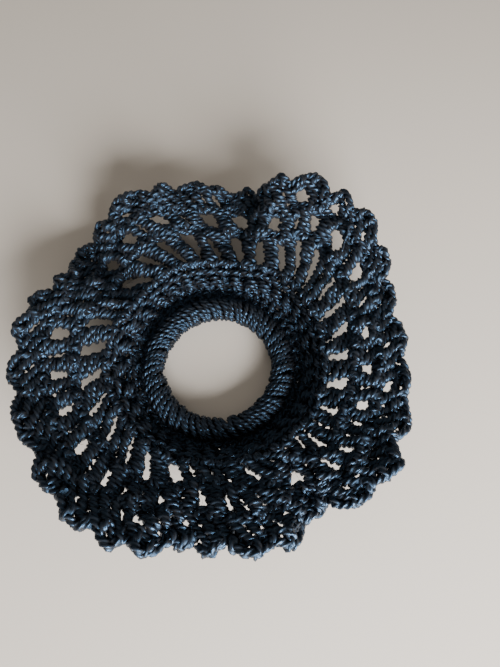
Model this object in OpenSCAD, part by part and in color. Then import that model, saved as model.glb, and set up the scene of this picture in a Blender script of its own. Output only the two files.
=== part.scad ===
// Crocheted hair tie: an elastic ring covered in single crochet, with a wide open ruffle worked round it.
// Millimetres. The origin is the centre of the hole, on the plane that the ring rests on, with +Z up.

/* [Ring] */
// Diameter of the hole that the hair goes through
hole_d = 30; // [26:1:36]
// Thickness of the ring with its crochet cover
cover_d = 7.2; // [6.4:0.2:8]
// Thickness of the bare elastic inside the cover
elastic_d = 4; // [3:0.5:4.5]

/* [Ruffle] */
// Thickness of the crocheted wall
wall = 2.4; // [2:0.1:2.6]
// How far the rim lies from the hole, as a share of the radii in the fold table
spread = 1; // [0.95:0.01:1.1]
// How high the folds stand, as a share of the heights in the fold table
lift = 1; // [0.8:0.05:1.1]
// Height of the ridge of stitch tops that ends the dense round
ridge_h = 1.8; // [0:0.1:2.5]

/* [Hidden] */

yarn_color = [0.05, 0.08, 0.13];
elastic_color = [0.03, 0.03, 0.03];

// Smallest clearance between one piece and the next
seam = 0.2;
// Posts worked in each open round
repeats = 32;

cover_r = cover_d / 2;
ring_r = hole_d / 2 + cover_r;
elastic_r = elastic_d / 2;

// The ruffle starts just outside the ring, a little above the ring's middle
start_r = ring_r + cover_r + seam;
start_z = cover_r + 0.8;

// Places across the ruffle, from 0 at the ring to 1 at the tips of the rim
ridge_v = 0.26;
post_v = 0.55;
mesh_v = 0.77;
seam_v = 0.005;

// The folds of the ruffle, going round from the right-hand side. The angles are those of the
// stitch at the ridge and at the rim, in degrees, then come the rim's radius and height, and how
// much the cloth arches up between the ring and the rim.
STITCH = 0;
ROOT_ANGLE = 1;
RIM_ANGLE = 2;
RIM_RADIUS = 3;
RIM_HEIGHT = 4;
ARCH = 5;
folds = [
    // stitch, root angle, rim angle, rim radius, rim height, arch
    [ 0.0,   1,   1, 50.7, 13, 5],
    [ 1.5,  20,  21, 52.0, 12, 5],
    [ 3.0,  34,  34, 56.0, 16, 3],
    [ 4.5,  48,  48, 60.0, 19, 1],
    [ 5.9,  60,  61, 59.5, 21, 0],
    [ 7.1,  70,  73, 57.0, 20, 0],
    [ 8.4,  85,  79, 57.5,  9, 0],
    [ 9.6,  98,  96, 58.5, 10, 1],
    [10.8, 109, 113, 59.0, 14, 1],
    [12.0, 120, 126, 59.0, 11, 1],
    [13.3, 134, 139, 56.5,  5, 0],
    [14.5, 149, 151, 51.5, 13, 2],
    [15.7, 165, 169, 54.5, 16, 2],
    [17.0, 183, 189, 54.5, 14, 2],
    [18.5, 204, 212, 51.0, 17, 1],
    [20.5, 230, 236, 51.0, 21, 0],
    [22.2, 248, 254, 50.0, 20, 0],
    [23.4, 260, 263, 48.0, 14, 3],
    [25.0, 277, 279, 49.5, 19, 3],
    [26.2, 294, 292, 50.0, 16, 3],
    [27.4, 311, 303, 47.5,  8, 2],
    [28.5, 324, 311, 50.5, 14, 2],
    [29.8, 337, 326, 52.5, 17, 2],
    [31.0, 351, 343, 51.5, 13, 5],
];

// Rows of points across one round. The gap is half its width, in stitches, the bow carries the
// middle of the repeat outwards, the notch draws in the places between the scallops of the rim,
// and the last column is true where the gap is open from this row to the next.
PLACE = 0;
GAP = 1;
BOW = 2;
NOTCH = 3;
OPEN = 4;
dense_rows = [
    // place, gap, bow, notch, open
    [0,                0.25, 0, 0, false],
    [0.09,             0.25, 0, 0, false],
    [0.18,             0.25, 0, 0, false],
    [ridge_v - seam_v, 0.25, 0, 0, false],
];
post_rows = [
    // place, gap, bow, notch, open
    [ridge_v + seam_v, 0.25, 0,    0, false],
    [0.33,             0.06, 0,    0, true],
    [0.40,             0.13, 0,    0, true],
    [0.47,             0.21, 0,    0, true],
    [0.51,             0.19, 0.01, 0, false],
    [post_v - seam_v,  0.25, 0,    0, false],
];
mesh_rows = [
    // place, gap, bow, notch, open
    [post_v + seam_v,  0.25, 0,     0, false],
    [0.60,             0.07, -0.01, 0, true],
    [0.66,             0.21, 0,     0, true],
    [0.72,             0.08, 0.01,  0, false],
    [mesh_v - seam_v,  0.25, 0,     0, false],
];
edging_rows = [
    // place, gap, bow, notch, open
    [mesh_v + seam_v,  0.25, 0,    0,    false],
    [0.81,             0.22, 0.02, 0,    true],
    [0.84,             0.27, 0.03, 0.01, true],
    [0.86,             0.20, 0.04, 0.01, false],
    [1.00,             0.27, 0,    0.08, false],
];

// Places of the columns of points in the band between two gaps, in stitches from the gap's middle
plain_band = [0.5];
scallop_band = [0.40, 0.5, 0.60];

// A row of the fold table, carried on round the ring past either end of the table
function fold_row(i) =
    let (n = len(folds), turn = floor(i / n), row = folds[i - turn * n])
    [for (c = [0 : len(row) - 1])
        row[c] + turn * (c == STITCH ? repeats : c == ROOT_ANGLE || c == RIM_ANGLE ? 360 : 0)];

// All columns at one stitch, on a smooth curve through the rows
function fold_at(s) =
    let (
        turn = floor(s / repeats),
        t = s - turn * repeats,
        i = max([for (k = [0 : len(folds) - 1]) if (folds[k][STITCH] <= t) k]),
        a = fold_row(i - 1), b = fold_row(i), c = fold_row(i + 1), d = fold_row(i + 2),
        h = c[STITCH] - b[STITCH],
        x = (t - b[STITCH]) / h,
        leave = (c - a) * h / (c[STITCH] - a[STITCH]),
        arrive = (d - b) * h / (d[STITCH] - b[STITCH]),
        row = (2 * x^3 - 3 * x^2 + 1) * b + (x^3 - 2 * x^2 + x) * leave
            + (3 * x^2 - 2 * x^3) * c + (x^3 - x^2) * arrive
    )
    [for (k = [0 : len(row) - 1]) row[k] + (k == ROOT_ANGLE || k == RIM_ANGLE ? 360 * turn : 0)];

function smooth(x, low, high) =
    let (t = max(0, min(1, (x - low) / (high - low))))
    t * t * (3 - 2 * t);

// Middle of the crocheted wall at stitch s and place v across the ruffle
function sheet(s, v) =
    let (
        f = fold_at(s),
        share = smooth(v, 0.10, 0.65),
        angle = f[ROOT_ANGLE] * (1 - share) + f[RIM_ANGLE] * share,
        r = start_r + (f[RIM_RADIUS] * spread - start_r) * v,
        rise = (f[RIM_HEIGHT] * lift - start_z) * v^1.25,
        arch = f[ARCH] * 16 * v^2 * (1 - v)^2,
        ridge = ridge_h * exp(-((v - ridge_v) / 0.12)^2)
    )
    [r * cos(angle), r * sin(angle), start_z + rise + arch + ridge];

function unit(a) = a / norm(a);

// A point on the upper (side 1) or lower (side -1) face of the wall
function face_point(s, v, side) =
    let (
        ds = 0.02, dv = 0.01,
        low = max(0, v - dv),
        round_way = sheet(s + ds, v) - sheet(s - ds, v),
        out_way = sheet(s, v + dv) - sheet(s, low)
    )
    sheet(s, v) + side * wall / 2 * unit(cross(out_way, round_way));

// One round of crochet as a closed wall. Each repeat has three columns at the gap and then the
// columns of the band. The gap's two cells are left out where a row is open.
module crochet_round(rows, band, middle) {
    across = 3 + len(band);
    columns = across * repeats;
    layer = len(rows) * columns;

    function offset_of(row, k) = k < 3 ? (k - 1) * row[GAP] : band[k - 3];
    function place_of(row, k) =
        let (u = offset_of(row, k), w = 2 * (u > 0.5 ? 1 - u : abs(u)))
        row[PLACE] + row[BOW] * (1 - w^2) - row[NOTCH] * w^4;
    function index(j, i, low) = low * layer + j * columns + (i + columns) % columns;
    function solid(j, i) =
        j >= 0 && j < len(rows) - 1
        && !(rows[j][OPEN] && (i + columns) % across < 2);

    points = [
        for (side = [1, -1]) for (row = rows) for (n = [0 : repeats - 1]) for (k = [0 : across - 1])
            face_point(n + middle + offset_of(row, k), place_of(row, k), side)
    ];
    faces = [
        for (j = [0 : len(rows) - 2]) for (i = [0 : columns - 1]) if (solid(j, i))
            let (
                corners = [[j, i], [j, i + 1], [j + 1, i + 1], [j + 1, i]],
                beside = [solid(j - 1, i), solid(j, i + 1), solid(j + 1, i), solid(j, i - 1)],
                top = [for (c = corners) index(c[0], c[1], 0)],
                low = [for (c = corners) index(c[0], c[1], 1)]
            )
            each [
                [top[0], top[1], top[2]], [top[0], top[2], top[3]],
                [low[2], low[1], low[0]], [low[3], low[2], low[0]],
                for (e = [0 : 3]) if (!beside[e])
                    let (n = (e + 1) % 4)
                    each [[top[n], top[e], low[e]], [top[n], low[e], low[n]]]
            ]
    ];
    polyhedron(points, faces, convexity = 12);
}

module elastic_ring() {
    color(elastic_color)
    translate([0, 0, cover_r])
    rotate_extrude($fn = 96)
    translate([ring_r, 0])
    circle(r = elastic_r, $fn = 32);
}

module ring_cover() {
    color(yarn_color)
    translate([0, 0, cover_r])
    rotate_extrude($fn = 96)
    translate([ring_r, 0])
    difference() {
        circle(r = cover_r, $fn = 48);
        circle(r = elastic_r + seam / 2, $fn = 32);
    }
}

module inner_round() {
    color(yarn_color) crochet_round(dense_rows, plain_band, 0);
}

module post_round() {
    color(yarn_color) crochet_round(post_rows, plain_band, 0);
}

module mesh_round() {
    color(yarn_color) crochet_round(mesh_rows, plain_band, 0.5);
}

module loop_edging() {
    color(yarn_color) crochet_round(edging_rows, scallop_band, 0.5);
}

elastic_ring();
ring_cover();
inner_round();
post_round();
mesh_round();
loop_edging();
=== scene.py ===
import math

import bpy
import numpy as np
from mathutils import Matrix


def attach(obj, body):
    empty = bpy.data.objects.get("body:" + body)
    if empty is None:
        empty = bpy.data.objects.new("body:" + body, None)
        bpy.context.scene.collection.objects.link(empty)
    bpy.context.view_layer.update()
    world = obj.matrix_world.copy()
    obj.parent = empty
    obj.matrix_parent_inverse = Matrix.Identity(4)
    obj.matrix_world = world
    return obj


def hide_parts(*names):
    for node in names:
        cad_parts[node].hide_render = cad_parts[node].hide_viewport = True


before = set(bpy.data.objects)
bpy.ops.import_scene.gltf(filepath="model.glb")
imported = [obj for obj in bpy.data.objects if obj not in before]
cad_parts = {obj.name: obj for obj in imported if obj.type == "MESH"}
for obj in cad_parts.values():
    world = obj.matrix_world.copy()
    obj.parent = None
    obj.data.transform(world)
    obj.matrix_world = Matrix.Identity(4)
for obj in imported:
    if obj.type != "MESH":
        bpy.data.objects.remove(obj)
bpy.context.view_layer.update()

# The elastic ring
# A bare hair elastic: a rubber core braided over with matt black thread. The crochet hides it all round,
# so it keeps the exact ring of the frame and only gets the look of the braid.


class Field:
    """A socket of a node tree that takes part in sums, so that a pattern reads as a formula."""

    def __init__(self, tree, socket):
        self.tree, self.socket = tree, socket

    def maths(self, operation, *others, first=None):
        values = [value for value in (first, self, *others) if value is not None]
        return node(self.tree, "ShaderNodeMath", {"operation": operation}, dict(enumerate(values)))

    def __add__(self, other):
        return self.maths("ADD", other)

    def __sub__(self, other):
        return self.maths("SUBTRACT", other)

    def __rsub__(self, other):
        return self.maths("SUBTRACT", first=other)

    def __mul__(self, other):
        return self.maths("MULTIPLY", other)

    def __truediv__(self, other):
        return self.maths("DIVIDE", other)

    def __pow__(self, other):
        return self.maths("POWER", other)

    __radd__ = __add__

    def output(self, name):
        return Field(self.tree, self.socket.node.outputs[name])


def node(tree, kind, settings=None, values=None, output=0):
    """Adds one node: first its settings, then a value or a link for each socket named."""
    made = tree.nodes.new(kind)
    for key, value in (settings or {}).items():
        setattr(made, key, value)
    for key, value in (values or {}).items():
        if isinstance(value, Field):
            tree.links.new(value.socket, made.inputs[key])
        else:
            made.inputs[key].default_value = value
    return Field(tree, made.outputs[output] if made.outputs else None)


def material(name, constants):
    """A material with one Principled shader, whose even values are set on its own sockets."""
    made = bpy.data.materials.new(name)
    made.use_nodes = True
    shader = made.node_tree.nodes["Principled BSDF"]
    for key, value in constants.items():
        shader.inputs[key].default_value = value
    return made, made.node_tree, shader


def drive(tree, shader, **fields):
    for key, field in fields.items():
        tree.links.new(field.socket, shader.inputs[key.replace("_", " ")])


def blend_colors(tree, share, low, high):
    return node(tree, "ShaderNodeMix", {"data_type": "RGBA"},
                {"Factor": share, 6: low, 7: high}, output=2)


# threads of the braid round the ring, and how far they turn for each metre of height
THREADS, SLANT = 90.0, 1100.0
braid, tree, shader = material("braided_elastic", {"Roughness": 0.85, "Specular IOR Level": 0.05})
place = node(tree, "ShaderNodeTexCoord").output("Object")
split = node(tree, "ShaderNodeSeparateXYZ", None, {"Vector": place})
x, y, z = (split.output(axis) for axis in "XYZ")
turn = y.maths("ARCTAN2", x)
climb = z * SLANT
crossings = (turn * THREADS + climb).maths("SINE") * (turn * THREADS - climb).maths("SINE")
braid_share = crossings * 0.5 + 0.5
drive(tree, shader,
      Base_Color=blend_colors(tree, braid_share, (0.002, 0.002, 0.002, 1), (0.008, 0.008, 0.009, 1)),
      Normal=node(tree, "ShaderNodeBump", None,
                  {"Strength": 0.6, "Distance": 0.0002, "Height": braid_share}))
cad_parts["elastic_ring"].data.materials.clear()
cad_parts["elastic_ring"].data.materials.append(braid)

# The ring cover
# The first round: single crochet worked over the elastic. Each stitch lays two or three strands of yarn
# over the ring. The yarn is a glossy dark navy thread of three plies in S twist, and all rounds are of it.

# one millimetre, in the metres of the frame
MM = 0.001


def plied_yarn_tree(name):
    """Turns lines of points into plied yarn: three plies twisted round the line, as one closed tube."""
    # how many plies there are, and how narrow the hollow between two of them is
    plies, hollow = 3, 1.6
    tree = bpy.data.node_groups.new(name, "GeometryNodeTree")
    tree.is_modifier = True
    face = tree.interface
    face.new_socket("Geometry", in_out="INPUT", socket_type="NodeSocketGeometry")
    for label, value in (("Yarn radius", 0.001), ("Ply depth", 0.3), ("Twist pitch", 0.003),
                         ("Ring step", 0.0004)):
        face.new_socket(label, in_out="INPUT", socket_type="NodeSocketFloat").default_value = value
    face.new_socket("Sides", in_out="INPUT", socket_type="NodeSocketInt").default_value = 12
    face.new_socket("Yarn", in_out="INPUT", socket_type="NodeSocketMaterial")
    face.new_socket("Geometry", in_out="OUTPUT", socket_type="NodeSocketGeometry")
    given = node(tree, "NodeGroupInput")

    # the path, smoothed through its points and cut into even steps
    line = node(tree, "GeometryNodeMeshToCurve", None, {"Mesh": given.output("Geometry")})
    line = node(tree, "GeometryNodeCurveSplineType", {"spline_type": "CATMULL_ROM"}, {"Curve": line})
    line = node(tree, "GeometryNodeResampleCurve", {"mode": "LENGTH"},
                {"Curve": line, "Length": given.output("Ring step")})
    length = node(tree, "GeometryNodeSplineParameter").output("Length")
    twist = length / given.output("Twist pitch") * (-2 * math.pi)
    line = node(tree, "GeometryNodeSetCurveTilt", None, {"Curve": line, "Tilt": twist})
    for label, value in (("along", length), ("twist", twist)):
        line = node(tree, "GeometryNodeStoreNamedAttribute", {"data_type": "FLOAT", "domain": "POINT"},
                    {"Geometry": line, "Name": label, "Value": value})

    # the section: a circle drawn in where two plies meet
    ring = node(tree, "GeometryNodeCurvePrimitiveCircle", {"mode": "RADIUS"},
                {"Resolution": given.output("Sides"), "Radius": 1.0})
    angle = node(tree, "GeometryNodeInputIndex") / given.output("Sides") * (2 * math.pi)
    crest = (angle * plies).maths("COSINE") * 0.5 + 0.5
    reach = given.output("Yarn radius") * (1 - given.output("Ply depth") * (1 - crest) ** hollow)
    where = node(tree, "ShaderNodeVectorMath", {"operation": "SCALE"},
                 {"Vector": node(tree, "GeometryNodeInputPosition"), "Scale": reach})
    ring = node(tree, "GeometryNodeSetPosition", None, {"Geometry": ring, "Position": where})
    for label, value in (("crest", crest), ("around", angle)):
        ring = node(tree, "GeometryNodeStoreNamedAttribute", {"data_type": "FLOAT", "domain": "POINT"},
                    {"Geometry": ring, "Name": label, "Value": value})
    tube = node(tree, "GeometryNodeCurveToMesh", None,
                {"Curve": line, "Profile Curve": ring, "Fill Caps": True})
    tube = node(tree, "GeometryNodeSetShadeSmooth", None, {"Geometry": tube})
    tube = node(tree, "GeometryNodeRealizeInstances", None, {"Geometry": tube})
    tube = node(tree, "GeometryNodeSetMaterial", None,
                {"Geometry": tube, "Material": given.output("Yarn")})
    node(tree, "NodeGroupOutput", None, {"Geometry": tube})
    return tree


def yarn_material():
    """Dark glossy yarn: fine fibres drawn out along it, glossy ply crests, dull worn patches, and painted
    bounce light: a warm brown in the hollows between the plies.
    """
    made, tree, shader = material("navy_yarn", {
        "Specular IOR Level": 0.62, "Specular Tint": (0.25, 0.56, 1.0, 1)})
    crest = node(tree, "ShaderNodeAttribute", {"attribute_name": "crest"}).output("Fac")
    straight = node(tree, "ShaderNodeAttribute", {"attribute_name": "straight"}).output("Vector")
    drawn = node(tree, "ShaderNodeMapping", None, {"Vector": straight, "Scale": (9.0, 9.0, 0.9)})
    fibres = node(tree, "ShaderNodeTexNoise", None,
                  {"Vector": drawn, "Scale": 1.0, "Detail": 3.0, "Roughness": 0.6}).output("Fac")
    place = node(tree, "ShaderNodeTexCoord").output("Object")
    patches = node(tree, "ShaderNodeTexNoise", None,
                   {"Vector": place, "Scale": 330.0, "Detail": 2.0}).output("Fac")
    worn = node(tree, "ShaderNodeMapRange", {"interpolation_type": "SMOOTHSTEP"},
                {"Value": patches, "From Min": 0.42, "From Max": 0.60, "To Min": 0.0, "To Max": 1.0})
    # painted light: where the crest is low, in the hollows between the plies, the colour turns warm brown
    # for the warm light thrown up from the floor; on the crests it is the yarn's own navy, and the fibres
    # add a real random tone
    share = crest * 0.6 + fibres * 0.5 - 0.2
    drive(tree, shader,
          Base_Color=blend_colors(tree, share, (0.0120, 0.0095, 0.0068, 1), (0.0085, 0.0108, 0.0160, 1)),
          Roughness=0.40 + worn * 0.20 - crest * 0.12 - fibres * 0.06,
          Normal=node(tree, "ShaderNodeBump", None,
                      {"Strength": 0.5, "Distance": 0.00008, "Height": fibres}))
    return made


yarn = yarn_material()
yarn_tree = plied_yarn_tree("plied_yarn")


def unroll(mesh, along, around, yarn_r, sides):
    """A map of the yarn laid out straight, as strips in rows that fill a square, with its cut ends as
    small discs between the strips."""
    # in mm: a disc's radius, the free length between two strips, and a disc's distance from its strip
    cut_end, room, apart = 0.5 * yarn_r, 3.0, 0.3
    # free share of a row's width on each side of its strips
    edge = 0.04
    starts = np.flatnonzero(np.diff(along[::sides], prepend=np.inf) < 0)
    longest = np.maximum.reduceat(along[::sides], starts)
    offsets = np.concatenate([[0.0], np.cumsum(longest + room)[:-1]])
    strand = np.repeat(np.searchsorted(starts, np.arange(len(along) // sides), side="right") - 1, sides)
    strip = 2 * math.pi * yarn_r
    row_count = max(1, round(math.sqrt((longest.sum() + room * len(longest)) / strip)))
    row_long = (longest.sum() + room * len(longest)) / row_count + 2 * room

    corner = np.empty(len(mesh.loops), np.int32)
    mesh.loops.foreach_get("vertex_index", corner)
    first, size = np.empty(len(mesh.polygons), np.int32), np.empty(len(mesh.polygons), np.int32)
    mesh.polygons.foreach_get("loop_start", first)
    mesh.polygons.foreach_get("loop_total", size)
    face = np.repeat(np.arange(len(first)), size)
    step = along[sides] - along[0]

    # past the seam along the yarn, and past the end of a closed loop of yarn
    turn = around[corner] / (2 * math.pi)
    turn += (turn < 0.25) & (np.maximum.reduceat(turn, first)[face] > 0.75)
    far = along[corner]
    last = np.maximum.reduceat(far, first)[face]
    far = np.where(last - far > 3 * step, last + step, far)
    caps = (size > 4)[face]
    outwards = np.where(far > 0, 1.0, -1.0) * (apart + cut_end)
    far = np.where(caps, far + outwards + cut_end * np.cos(around[corner]), far)
    turn = np.where(caps, 0.5 + cut_end / strip * np.sin(around[corner]), turn)
    far += offsets[strand[corner]] + room / 2
    row = np.floor(np.minimum.reduceat(far, first) / row_long)[face]
    spots = np.stack([(far - row * row_long) / (row_long + room),
                      (row + edge + (1 - 2 * edge) * turn) / row_count], 1)
    mesh.uv_layers.new(name="OFBake").data.foreach_set("uv", spots.astype(np.float32).ravel())


def lay_yarn(name, round_name, paths, yarn_r=1.12, step=0.54, ply_depth=0.58, pitch=5.3):
    """One round of crochet: each path is a list of points in mm and whether it is closed. The yarn's
    radius, the step along it and one turn of its plies are in mm, the ply depth a share of the radius."""
    sides = 12
    points, edges = [], []
    for path, closed in paths:
        first = len(points)
        points.extend(path)
        edges.extend((first + i, first + i + 1) for i in range(len(path) - 1))
        if closed:
            edges.append((len(points) - 1, first))
    line = bpy.data.meshes.new(name + "_path")
    line.from_pydata([tuple(p) for p in np.array(points) * MM], edges, [])
    worker = bpy.data.objects.new(name + "_path", line)
    bpy.context.scene.collection.objects.link(worker)
    modifier = worker.modifiers.new("yarn", "NODES")
    modifier.node_group = yarn_tree
    sockets = {s.name: s.identifier for s in yarn_tree.interface.items_tree if s.in_out == "INPUT"}
    for label, value in (("Yarn radius", yarn_r * MM), ("Ply depth", ply_depth),
                         ("Twist pitch", pitch * MM), ("Ring step", step * MM), ("Sides", sides),
                         ("Yarn", yarn)):
        modifier[sockets[label]] = value
    bpy.context.view_layer.update()
    graph = bpy.context.evaluated_depsgraph_get()
    mesh = bpy.data.meshes.new_from_object(worker.evaluated_get(graph))
    bpy.data.objects.remove(worker)
    bpy.data.meshes.remove(line)

    # where each point would be if the yarn lay straight, for the fibres
    count = len(mesh.vertices)
    read = {}
    for label in ("along", "twist", "around"):
        values = np.empty(count, np.float32)
        mesh.attributes[label].data.foreach_get("value", values)
        read[label] = values
    angle = read["around"] + read["twist"]
    straight = np.stack([np.cos(angle) * yarn_r, np.sin(angle) * yarn_r, read["along"] / MM], 1)
    mesh.attributes.new("straight", "FLOAT_VECTOR", "POINT").data.foreach_set(
        "vector", straight.astype(np.float32).ravel())
    unroll(mesh, read["along"] / MM, read["around"], yarn_r, sides)
    mesh.name = name
    piece = bpy.data.objects.new(name, mesh)
    bpy.context.scene.collection.objects.link(piece)
    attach(piece, "root")
    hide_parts(round_name)


# stitches in a round, and in mm the radius of the ring's middle line and of its cover
REPEATS = 32
RING_R, COVER_R = 18.6, 3.6
chance = np.random.default_rng(7)


def ring_wraps(yarn_r):
    """The strands over the elastic, two or three to a stitch, as one long coil that closes on itself."""
    # strands round the ring, and points on each
    wraps, cuts = 84, 14
    # in wraps: how far a strand leans, and what is added to that for each strand of a stitch in turn
    lean_mean, lean_turn = 1.2, 0.25
    # one stitch on the left is pulled tight, which draws a notch in the edge of the hole
    notch, notch_wide, notch_deep = math.radians(183), math.radians(7), 0.9
    path = []
    for i in range(wraps):
        lean = lean_mean + lean_turn * (i % 3 - 1) + chance.normal(0, 0.16)
        drawn = chance.normal(0, 0.18, 2)
        loose = chance.uniform(-0.22, 0.16)
        for k in range(cuts):
            t = k / cuts
            phi = 2 * math.pi * t
            drift = i + t + lean * math.cos(phi) + drawn[0] * math.sin(phi) + drawn[1] * math.cos(2 * phi)
            theta = 2 * math.pi * drift / wraps
            tube = COVER_R - yarn_r + loose + 0.10 * math.sin(3 * phi + i) + 0.16 * chance.random()
            r = RING_R + tube * math.cos(phi)
            r += notch_deep * math.exp(-((theta - notch) / notch_wide) ** 2) * max(0.0, -math.cos(phi))
            z = max(yarn_r, COVER_R + tube * math.sin(phi))
            path.append((r * math.cos(theta), r * math.sin(theta), z))
    return path, True


lay_yarn("cover_yarn", "ring_cover", [ring_wraps(0.88)], yarn_r=0.88, step=0.46, ply_depth=0.56, pitch=4.6)

# The inner round
# The second round: short stitches close together, worked into the tops of the stitches on the ring, which
# lie sunk in the groove beside it. They draw the cloth up into a ridge of stitch tops.

# Where the cloth starts beside the ring, in mm, and the ridge's place and height. A place is a share of the
# way from the ring to the rim.
START_R, START_Z = 22.4, 4.4
RIDGE_V, RIDGE_H = 0.26, 1.8
folds = np.array([
    # stitch, root angle, rim angle, rim radius, rim height, arch
    [0.0, 1, 1, 50.7, 13, 5], [1.5, 20, 21, 52.0, 12, 5], [3.0, 34, 34, 56.0, 16, 3],
    [4.5, 48, 48, 60.0, 19, 1], [5.9, 60, 61, 59.5, 21, 0], [7.1, 70, 73, 57.0, 20, 0],
    [8.4, 85, 79, 57.5, 9, 0], [9.6, 98, 96, 58.5, 10, 1], [10.8, 109, 113, 59.0, 14, 1],
    [12.0, 120, 126, 59.0, 11, 1], [13.3, 134, 139, 56.5, 5, 0], [14.5, 149, 151, 51.5, 13, 2],
    [15.7, 165, 169, 54.5, 16, 2], [17.0, 183, 189, 54.5, 14, 2], [18.5, 204, 212, 51.0, 17, 1],
    [20.5, 230, 236, 51.0, 21, 0], [22.2, 248, 254, 50.0, 20, 0], [23.4, 260, 263, 48.0, 14, 3],
    [25.0, 277, 279, 49.5, 19, 3], [26.2, 294, 292, 50.0, 16, 3], [27.4, 311, 303, 47.5, 8, 2],
    [28.5, 324, 311, 50.5, 14, 2], [29.8, 337, 326, 52.5, 17, 2], [31.0, 351, 343, 51.5, 13, 5],
])
turned = np.array([REPEATS, 360, 360, 0, 0, 0])
knots = np.concatenate([folds[-2:] - turned, folds, folds[:2] + turned])


def fold_at(s):
    """All columns of the fold table at stitch s, on a smooth curve through its rows."""
    turn = np.floor(s / REPEATS)
    t = s - turn * REPEATS
    i = np.clip(np.searchsorted(knots[:, 0], t, side="right") - 1, 1, len(knots) - 3)
    a, b, c, d = (knots[i + k] for k in (-1, 0, 1, 2))
    h = (c - b)[..., :1]
    x = (t - b[..., 0])[..., None] / h
    leave = (c - a) * h / (c - a)[..., :1]
    arrive = (d - b) * h / (d - b)[..., :1]
    row = ((2 * x**3 - 3 * x**2 + 1) * b + (x**3 - 2 * x**2 + x) * leave
           + (3 * x**2 - 2 * x**3) * c + (x**3 - x**2) * arrive)
    return row + turn[..., None] * turned


def sheet(s, v):
    """The middle of the crocheted wall in mm, at stitch s and place v from the ring to the rim."""
    s, v = np.broadcast_arrays(np.asarray(s, float), np.asarray(v, float))
    _, root_angle, rim_angle, rim_radius, rim_height, arch = np.moveaxis(fold_at(s), -1, 0)
    # the cloth swings from the root angle to the rim angle between places 0.10 and 0.65
    share = np.clip((v - 0.10) / 0.55, 0, 1)
    share = share * share * (3 - 2 * share)
    angle = np.radians(root_angle * (1 - share) + rim_angle * share)
    r = START_R + (rim_radius - START_R) * v
    out = np.maximum(v, 0)
    z = (START_Z + (rim_height - START_Z) * out**1.25 + arch * 16 * out**2 * (1 - v)**2
         + RIDGE_H * np.exp(-((v - RIDGE_V) / 0.12)**2))
    return np.stack([r * np.cos(angle), r * np.sin(angle), z], -1)


# slow waves in which the soft cloth lies: turns in 32 stitches, turns from the ring to the rim, phase.
# Each lifts it by WAVE_H mm in the open rounds, and by less near the ring.
SLACK_WAVES = [
    (23, 2.6, 0.3), (19, -3.7, 2.1), (31, 1.4, 4.0), (14, 4.4, 5.2), (37, -2.2, 1.1), (27, 4.9, 3.3),
]
WAVE_H = 0.30


def slack(s, v):
    """How far in mm the cloth lies above or below its middle surface, more so towards the rim."""
    waves = sum(np.sin(2 * math.pi * (m * s / REPEATS + n * v) + p) for m, n, p in SLACK_WAVES)
    return WAVE_H * waves * np.clip(v / 0.5, 0.2, 1.0)


def beside(s, v, a=0.0, b=0.0, c=0.0):
    """Points a mm round, b mm outwards and c mm off the upper face from stitch s, place v."""
    s, v, a, b, c = np.broadcast_arrays(*(np.asarray(x, float) for x in (s, v, a, b, c)))
    ds, dv = 0.02, 0.01
    mm_round = np.linalg.norm(sheet(s + ds, v) - sheet(s - ds, v), axis=-1) / (2 * ds)
    mm_out = np.linalg.norm(sheet(s, v + dv) - sheet(s, v - dv), axis=-1) / (2 * dv)
    s, v = s + a / mm_round, v + b / mm_out
    out_way = sheet(s, v + dv) - sheet(s, v - dv)
    round_way = sheet(s + ds, v) - sheet(s - ds, v)
    up = np.cross(out_way, round_way)
    up /= np.linalg.norm(up, axis=-1, keepdims=True)
    return sheet(s, v) + (c + slack(s, v))[..., None] * up


# one loop of a chain: along the row, across it, off the face
LINK = np.array([
    (0.00, 0.00, -1.00), (0.20, -0.38, -0.10), (0.60, -0.50, 0.80), (1.05, -0.40, 0.40),
    (1.32, 0.00, -0.50), (1.05, 0.40, 0.40), (0.60, 0.50, 0.80), (0.20, 0.38, -0.10),
])


def chain(row, width, lift, high):
    """Chain stitches along a row of (stitch, place): each loop passes through the one before it. In mm,
    the row is width across, lies lift off the face and its loops stand high."""
    path = []
    for (s0, v0), (s1, v1) in zip(row[:-1], row[1:]):
        wide = width * (1 + chance.normal(0, 0.10))
        jog = chance.normal(0, 0.06, LINK.shape)
        skew = chance.normal(0, 0.15)
        u = LINK[:, 0] + jog[:, 0] + skew * LINK[:, 1]
        path.append(beside(s0 + (s1 - s0) * u, v0 + (v1 - v0) * u, 0, (LINK[:, 1] + jog[:, 1]) * wide,
                           lift + LINK[:, 2] * high + 2 * jog[:, 2]))
    return np.concatenate(path)


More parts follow.
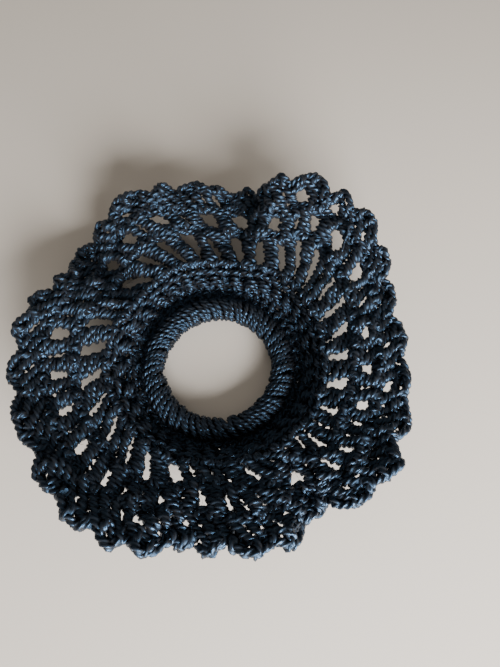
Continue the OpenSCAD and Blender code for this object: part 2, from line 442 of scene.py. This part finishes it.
def upright(line, pitch, over, strands, deep, lift=0.3):
    """One upright stitch: strands twisted round each other inside a band, given as (left stitch, right
    stitch, place) from foot to head. It turns once in pitch mm, its foot hooks over mm of the chain
    below, and it stands deep mm to each side of a line that is lift mm off the face."""
    # in mm: the band's edge lies this far outside the middle of a strand, and the narrowest twist
    strand_half, narrowest = 0.93, 0.35
    left, right, place = np.array(line).T
    middle = (left + right) / 2
    wide = np.linalg.norm(sheet(right, place) - sheet(left, place), axis=-1) / 2 - strand_half
    wide = np.maximum(wide, narrowest)
    long = float(np.linalg.norm(np.diff(sheet(middle, place), axis=0), axis=1).sum())
    turns = long / pitch
    at = np.linspace(0, 1, len(place))
    cuts = np.linspace(0, 1, max(3, round(2 + 5 * turns)))
    start = chance.uniform(0, 2 * math.pi)
    path = []
    for k in range(strands):
        down = k % 2 == 0
        raised = lift + chance.normal(0, 0.25)
        t = cuts[::-1] if down else cuts
        angle = start - 2 * math.pi * (k / strands + turns * t)
        s, v, half = (np.interp(t, at, c) for c in (middle, place, wide))
        jog = chance.normal(0, 0.11, (2, len(t)))
        path.append(beside(s, v, half * np.cos(angle) + jog[0], 0, raised + deep * np.sin(angle) + jog[1]))
        if down:
            # over the chain below, round under it and up again behind
            side = wide[0] * (math.cos(start - 2 * math.pi * (k + 0.5) / strands) + chance.normal(0, 0.2))
            path.append(beside(middle[0], place[0], [side, side * 0.8, side * 0.6, side * 0.3],
                               [-0.25 * over, -0.75 * over, -over, -0.45 * over],
                               np.array([1.05, 0.8, -0.6, -1.5]) + lift + chance.normal(0, 0.08, 4)))
        elif k < strands - 1:
            path.append(beside(middle[-1], place[-1], [half[-1] * 0.6 * math.cos(angle[-1])], [0.7], [0.3]))
    return np.concatenate(path)


# how far past the end of a gap the middle of the chain there lies, as a share of the way to the rim
CHAIN_V = 0.045


def gap_side(gap, v, side):
    """Stitch at the edge of a gap at place v: side is -1 before the gap and 1 past it."""
    # places over which a gap widens from its foot and narrows to its top
    foot_taper, top_taper = 0.09, 0.06
    foot_s, foot_v, top_s, top_v, wide = gap
    middle = foot_s + (top_s - foot_s) * (v - foot_v) / (top_v - foot_v)
    opening = (np.clip((v - foot_v + CHAIN_V) / foot_taper, 0, 1)
               * np.clip((top_v - v + CHAIN_V) / top_taper, 0, 1))
    return middle + side * wide / 2 * opening


def fill(gap_a, gap_b, low_at, top_at, pitch):
    """Bands for the upright stitches between two gaps, about pitch mm wide, from low_at to top_at."""
    # the lowest that a stitch can be, in places, and the points up each side of its band
    shortest, marks = 0.04, 5
    v = (gap_a[1] + gap_a[3] + gap_b[1] + gap_b[3]) / 4
    left, right = gap_side(gap_a, v, 1), gap_side(gap_b, v, -1)
    count = max(1, round(float(np.linalg.norm(sheet(right, v) - sheet(left, v))) / pitch))
    bands = []
    for k in range(count):
        s = left + (right - left) * (k + 0.5) / count
        low = low_at(s)
        bands.append([[gap_side(gap_a, p, 1) * (1 - q) + gap_side(gap_b, p, -1) * q
                       for q in (k / count, (k + 1) / count)] + [p]
                      for p in np.linspace(low, max(top_at(s), low + shortest), marks)])
    return bands


def next_gap(gaps, i):
    """The gap after number i, carried on round the ring past the last one."""
    past = gaps[(i + 1) % len(gaps)].copy()
    past[[0, 2]] += REPEATS * ((i + 1) // len(gaps))
    return past


def place_at(s, marks, places):
    """The place of a row at stitch s, on straight runs between its marks round the ring."""
    return np.interp(s, marks, places, period=REPEATS)


def ring_of(count):
    """Stitches spaced evenly round the ring, with a little slack, ending where they start."""
    s = np.arange(count) * REPEATS / count + chance.normal(0, 0.03, count)
    return np.append(s, s[0] + REPEATS)


# the stitch tops on the ring, sunk in the groove, and the ridge
inner_paths = [
    (chain([(s, -0.03) for s in ring_of(48)], width=2.0, lift=-1.9, high=0.5), True),
    (chain([(s, 0.02) for s in ring_of(44)], width=2.2, lift=-1.9, high=0.5), True),
    (chain([(s, 0.245) for s in ring_of(46)], width=2.5, lift=0.5, high=0.9), True),
]
# the legs of the stitches, sunk between the ring and the ridge
for s in ring_of(44)[:-1]:
    leg = [(s - 0.27, s + 0.27, 0.12), (s - 0.22, s + 0.32, 0.215)]
    inner_paths.append((upright(leg, pitch=6, over=1.3, strands=2, deep=0.6, lift=-1.4), False))
for s in ring_of(40)[:-1]:
    leg = [(s - 0.30, s + 0.30, 0.03), (s - 0.25, s + 0.35, 0.11)]
    inner_paths.append((upright(leg, pitch=6, over=1.0, strands=2, deep=0.5, lift=-2.0), False))
# the front loop of each stitch, which lies proud as a short slanting pair of strands
for s in ring_of(REPEATS)[:-1]:
    v, turn, long = 0.155 + chance.normal(0, 0.012), chance.normal(0, 0.10), 2.1 + chance.normal(0, 0.3)
    for low in (0.0, -1.4):
        inner_paths.append((beside(s, v, np.array([-1.0, -0.75, -0.1, 0.6, 0.95]) * long,
                                   np.array([-1.3, -0.7, 0.2, 0.8, 0.5]) * (1 + turn) + low,
                                   np.array([-1.6, -0.2, 0.7, 0.4, -1.5]) + chance.normal(0, 0.1)), False))
# strands carried along inside the stitches
for v, sunk in ((0.045, -2.1), (0.085, -2.0), (0.13, -1.8), (0.165, -1.6), (0.20, -1.5)):
    inner_paths.append((beside(np.arange(96) / 3, v, 0, chance.normal(0, 0.1, 96), sunk), True))
lay_yarn("inner_yarn", "inner_round", inner_paths, yarn_r=0.95, step=0.63)

# The post round
# The third round: a pair of tall stitches in each stitch of the ridge, which leave a long gap to the next
# pair, with chains between their tops. The yarn of a tall stitch is twisted on itself.
post_gaps = np.array([
    # stitch and place of the foot, stitch and place of the top, width in stitches
    [-0.10, 0.36, -0.05, 0.50, 0.22], [0.68, 0.39, 0.95, 0.54, 0.20], [1.70, 0.40, 1.98, 0.60, 0.23],
    [2.82, 0.38, 3.15, 0.57, 0.30], [4.02, 0.37, 4.55, 0.59, 0.27], [4.95, 0.40, 5.58, 0.60, 0.22],
    [5.50, 0.30, 6.10, 0.50, 0.31], [6.85, 0.30, 7.25, 0.54, 0.46], [8.05, 0.31, 8.85, 0.58, 0.42],
    [9.02, 0.31, 9.55, 0.51, 0.22], [9.95, 0.38, 10.25, 0.60, 0.34], [10.75, 0.36, 11.15, 0.57, 0.29],
    [11.65, 0.35, 12.15, 0.56, 0.26], [12.75, 0.36, 13.45, 0.54, 0.67], [14.10, 0.31, 14.45, 0.50, 0.17],
    [15.25, 0.30, 15.45, 0.53, 0.30], [16.20, 0.28, 16.32, 0.48, 0.35], [17.10, 0.29, 17.30, 0.48, 0.21],
    [17.95, 0.30, 18.22, 0.52, 0.14], [18.95, 0.30, 19.32, 0.51, 0.20], [20.08, 0.33, 20.30, 0.52, 0.09],
    [20.92, 0.29, 21.18, 0.53, 0.18], [22.25, 0.28, 22.55, 0.46, 0.62], [23.10, 0.29, 23.45, 0.42, 0.08],
    [24.10, 0.28, 24.40, 0.40, 0.14], [24.62, 0.34, 25.00, 0.46, 0.09], [25.65, 0.35, 26.00, 0.50, 0.11],
    [26.45, 0.32, 27.00, 0.44, 0.12], [27.95, 0.29, 28.30, 0.42, 0.09], [28.60, 0.37, 29.10, 0.53, 0.11],
    [29.95, 0.36, 30.25, 0.47, 0.13], [30.85, 0.35, 31.15, 0.48, 0.26],
])
# the place where the posts stand on the ridge
POST_FOOT_V = 0.285
post_marks, post_tops = post_gaps[:, 2], post_gaps[:, 3] + CHAIN_V
post_row = [(s, place_at(s, post_marks, post_tops) + chance.normal(0, 0.006))
            for s in ring_of(76)[:-1]]
post_row.append((post_row[0][0] + REPEATS, post_row[0][1]))
post_paths = [(chain(post_row, width=2.0, lift=0.0, high=0.95), True)]
for i, gap in enumerate(post_gaps):
    for band in fill(gap, next_gap(post_gaps, i), lambda s: POST_FOOT_V,
                     lambda s: place_at(s, post_marks, post_tops) - 0.01, pitch=4.2):
        post_paths.append((upright(band, pitch=7.0, over=1.2, strands=3, deep=0.85), False))
lay_yarn("post_yarn", "post_round", post_paths)

# The mesh round
# The fourth round: short stitches worked round the chains between the posts, with a chain over each of
# the small gaps between them.
mesh_gaps = np.array([
    # stitch and place of the foot, stitch and place of the top, width in stitches
    [0.45, 0.59, 0.55, 0.71, 0.22], [1.50, 0.71, 1.65, 0.79, 0.13], [2.70, 0.69, 2.85, 0.83, 0.48],
    [4.15, 0.69, 4.30, 0.79, 0.55], [5.28, 0.71, 5.42, 0.80, 0.32], [5.93, 0.69, 6.03, 0.76, 0.19],
    [6.48, 0.58, 6.60, 0.67, 0.53], [8.72, 0.67, 8.78, 0.79, 0.36], [9.42, 0.66, 9.65, 0.78, 0.36],
    [10.10, 0.68, 10.20, 0.74, 0.09], [10.65, 0.67, 10.85, 0.79, 0.39], [11.85, 0.66, 12.10, 0.79, 0.37],
    [12.90, 0.66, 13.15, 0.76, 0.54], [13.90, 0.66, 14.05, 0.72, 0.08], [14.95, 0.64, 15.05, 0.72, 0.10],
    [15.88, 0.60, 15.92, 0.75, 0.30], [16.88, 0.59, 16.92, 0.71, 0.22], [17.75, 0.61, 17.85, 0.73, 0.12],
    [18.82, 0.62, 18.98, 0.76, 0.23], [20.00, 0.63, 20.30, 0.78, 0.15], [20.78, 0.66, 20.85, 0.72, 0.04],
    [21.90, 0.58, 22.00, 0.68, 0.10], [22.80, 0.58, 22.85, 0.64, 0.06], [23.78, 0.59, 23.90, 0.69, 0.29],
    [24.70, 0.60, 24.76, 0.70, 0.07], [25.65, 0.62, 25.85, 0.72, 0.09], [26.45, 0.58, 26.52, 0.66, 0.09],
    [27.30, 0.56, 27.35, 0.70, 0.80], [28.92, 0.68, 29.05, 0.76, 0.14], [29.50, 0.65, 29.60, 0.73, 0.13],
    [30.70, 0.56, 30.80, 0.68, 0.21], [31.55, 0.59, 31.62, 0.70, 0.18],
])
mesh_marks, mesh_tops = (mesh_gaps[:, 0] + mesh_gaps[:, 2]) / 2, mesh_gaps[:, 3] + CHAIN_V
mesh_row = [(s, place_at(s, mesh_marks, mesh_tops) + chance.normal(0, 0.006))
            for s in ring_of(80)[:-1]]
mesh_row.append((mesh_row[0][0] + REPEATS, mesh_row[0][1]))
mesh_paths = [(chain(mesh_row, width=2.0, lift=0.0, high=0.95), True)]
for i, gap in enumerate(mesh_gaps):
    for band in fill(gap, next_gap(mesh_gaps, i), lambda s: place_at(s, post_marks, post_tops) + 0.01,
                     lambda s: place_at(s, mesh_marks, mesh_tops) - 0.01, pitch=4.0):
        mesh_paths.append((upright(band, pitch=6.2, over=1.5, strands=3, deep=0.85), False))
lay_yarn("mesh_yarn", "mesh_round", mesh_paths)

# The loop edging
# The last round: arches of chain stitch, held to the mesh by short stitches, make the scalloped rim.
arches = np.array([
    # stitch and place of the dip before each arch
    [0.90, 0.965], [2.00, 1.000], [3.25, 0.990], [4.50, 0.985], [5.40, 0.980], [6.50, 0.980],
    [7.25, 0.930], [8.20, 0.980], [9.05, 0.990], [10.15, 1.000], [10.70, 0.980], [12.10, 0.990],
    [12.80, 1.000], [14.45, 0.960], [14.95, 0.950], [15.55, 0.970], [16.35, 0.940], [17.20, 0.950],
    [18.50, 0.980], [19.70, 1.000], [20.85, 1.000], [21.70, 1.000], [22.85, 0.945], [23.60, 0.985],
    [24.55, 0.945], [25.65, 0.985], [26.75, 0.950], [28.00, 0.930], [29.20, 1.000], [30.20, 0.945],
    [31.15, 0.985], [31.85, 0.960],
])
crescents = np.array([
    # stitch and place of the foot, stitch and place of the top, width in stitches
    [0.05, 0.79, 0.18, 0.88, 0.09], [3.50, 0.885, 3.60, 0.915, 0.46], [4.92, 0.85, 5.00, 0.91, 0.31],
    [6.05, 0.85, 6.15, 0.91, 0.46], [7.90, 0.85, 8.20, 0.90, 0.67], [9.20, 0.84, 9.32, 0.91, 0.19],
    [11.45, 0.87, 11.60, 0.92, 0.32], [14.28, 0.82, 14.32, 0.86, 0.12], [15.85, 0.875, 15.95, 0.90, 0.30],
    [16.72, 0.86, 16.78, 0.885, 0.14], [19.80, 0.87, 20.00, 0.92, 0.15], [21.65, 0.845, 21.75, 0.885, 0.37],
    [23.25, 0.81, 23.35, 0.845, 0.26], [23.82, 0.83, 23.90, 0.855, 0.24], [26.02, 0.87, 26.10, 0.91, 0.16],
    [29.15, 0.89, 29.25, 0.95, 0.11], [31.20, 0.76, 31.38, 0.87, 0.14],
])
# the chain along the rim runs this far inside the dips of the arches
RIM_INSIDE = 0.055
rim = []
for i, (s0, v0) in enumerate(arches):
    s1, v1 = arches[(i + 1) % len(arches)] + [REPEATS * ((i + 1) // len(arches)), 0]
    count = max(2, round(2.5 * (s1 - s0)))
    rise = 0.035 + 0.055 * min(1.0, s1 - s0) + chance.normal(0, 0.006)
    for k in range(count):
        u = k / count
        v = v0 + (v1 - v0) * u - RIM_INSIDE + rise * math.sin(math.pi * u) ** 0.6
        rim.append((s0 + (s1 - s0) * u, v))
rim.append((rim[0][0] + REPEATS, rim[0][1]))
rim_marks, rim_places = np.array(rim[:-1]).T
edge_paths = []
for i, gap in enumerate(crescents):
    for band in fill(gap, next_gap(crescents, i), lambda s: place_at(s, mesh_marks, mesh_tops) + 0.02,
                     lambda s: place_at(s, rim_marks, rim_places) - 0.005, pitch=3.3):
        edge_paths.append((upright(band, pitch=5.5, over=1.5, strands=2, deep=0.7), False))
lay_yarn("edging_yarn", "loop_edging", edge_paths)

# the chain along the rim, with a knot of yarn drawn over it at every stitch
rim_paths = [(chain(rim, width=3.0, lift=0.0, high=0.9), True)]
for s in ring_of(76)[:-1]:
    v = place_at(s, rim_marks, rim_places)
    side = chance.normal(0, 0.35, 6)
    rim_paths.append((beside(s, v, [0.1, 0.4, 0.1, -0.3, -0.5, -0.1] + side,
                             [-1.2, 0.1, 1.3, 1.35, 0.0, -1.2],
                             [0.9, 1.4, 0.8, -0.6, -1.2, -0.7] + chance.normal(0, 0.12, 6)), True))
# a small loop stands out from one arch, with an open eye
turn, eye_r = np.linspace(0, 2 * math.pi, 10)[:-1], 1.55
rim_paths.append((beside(31.50, 0.97, eye_r * np.cos(turn), eye_r * np.sin(turn),
                         0.8 + 0.4 * np.cos(turn)), True))
lay_yarn("rim_yarn", "loop_edging", rim_paths)

# a bare strand that has slipped out of the rim, and a thread that lies loose over the stitches
slipped = beside(np.array([31.30, 31.20, 31.02, 30.80, 30.55, 30.30, 30.18]),
                 np.array([0.93, 0.985, 1.025, 1.03, 1.01, 0.96, 0.90]), 0, 0,
                 np.array([0.0, 1.0, 1.2, 1.3, 1.3, 1.1, 0.0]))
loose = beside(np.array([3.70, 3.80, 3.95, 4.05, 4.20, 4.15]),
               np.array([0.68, 0.73, 0.77, 0.83, 0.87, 0.92]), 0, 0,
               np.array([0.6, 2.2, 2.6, 2.5, 2.3, 0.8]))
lay_yarn("loose_yarn", "loop_edging", [(slipped, False), (loose, False)],
         yarn_r=0.42, step=0.30, ply_depth=0.3, pitch=2.6)

# fine hairs that stand off the yarn
HAIR_COUNT = 130
hairs = []
for s, v in zip(chance.uniform(0, REPEATS, HAIR_COUNT), chance.uniform(0.05, 0.98, HAIR_COUNT)):
    reach = chance.normal(0, 0.9, (2, 4)).cumsum(axis=1)
    hairs.append((beside(s, v, reach[0], reach[1], [0.9, 1.7, 2.1 + chance.uniform(0, 0.5), 2.0]), False))
lay_yarn("fine_hairs", "loop_edging", hairs, yarn_r=0.035, step=1.0, ply_depth=0.0, pitch=3.0)

# Camera, floor and light
# The tie lies by itself on a plain pale floor. The camera looks steeply down from the near side. One soft
# lamp stands low at the near right, and the rest of the room gives an even light.

# half the floor's side, in metres
FLOOR_HALF = 3
corners = [(FLOOR_HALF * x, FLOOR_HALF * y, 0) for x, y in ((-1, -1), (1, -1), (1, 1), (-1, 1))]
floor_mesh = bpy.data.meshes.new("floor")
floor_mesh.from_pydata(corners, [], [(0, 1, 2, 3)])
floor = bpy.data.objects.new("floor", floor_mesh)
bpy.context.scene.collection.objects.link(floor)
paper = material("pale_floor", {"Base Color": (0.63, 0.57, 0.50, 1), "Roughness": 0.7})[0]
floor_mesh.materials.append(paper)

lens = bpy.data.cameras.new("camera")
lens.lens, lens.sensor_width, lens.clip_start = 27.04, 36, 0.01
camera = bpy.data.objects.new("camera", lens)
camera.location = (0.0090853, -0.0502101, 0.1400200)
camera.rotation_euler = (math.radians(24), 0, 0)
bpy.context.scene.collection.objects.link(camera)
bpy.context.scene.camera = camera


def soft_lamp(name, way, height, distance, size, power):
    """A square lamp of size m that shines at the tie from the plan direction way, height degrees up."""
    lamp = bpy.data.lights.new(name, "AREA")
    lamp.shape, lamp.size, lamp.energy = "SQUARE", size, power
    held = bpy.data.objects.new(name, lamp)
    up, turn = math.radians(height), math.radians(way)
    held.location = tuple(distance * x for x in (
        math.cos(up) * math.cos(turn), math.cos(up) * math.sin(turn), math.sin(up)))
    held.rotation_euler = (math.pi / 2 - up, 0, turn + math.pi / 2)
    bpy.context.scene.collection.objects.link(held)


soft_lamp("window", way=-64, height=15, distance=0.5, size=0.34, power=17.5)
world = bpy.data.worlds.new("room")
world.use_nodes = True
world.node_tree.nodes["Background"].inputs["Color"].default_value = (1.0, 0.94, 0.86, 1)
world.node_tree.nodes["Background"].inputs["Strength"].default_value = 0.32
bpy.context.scene.world = world
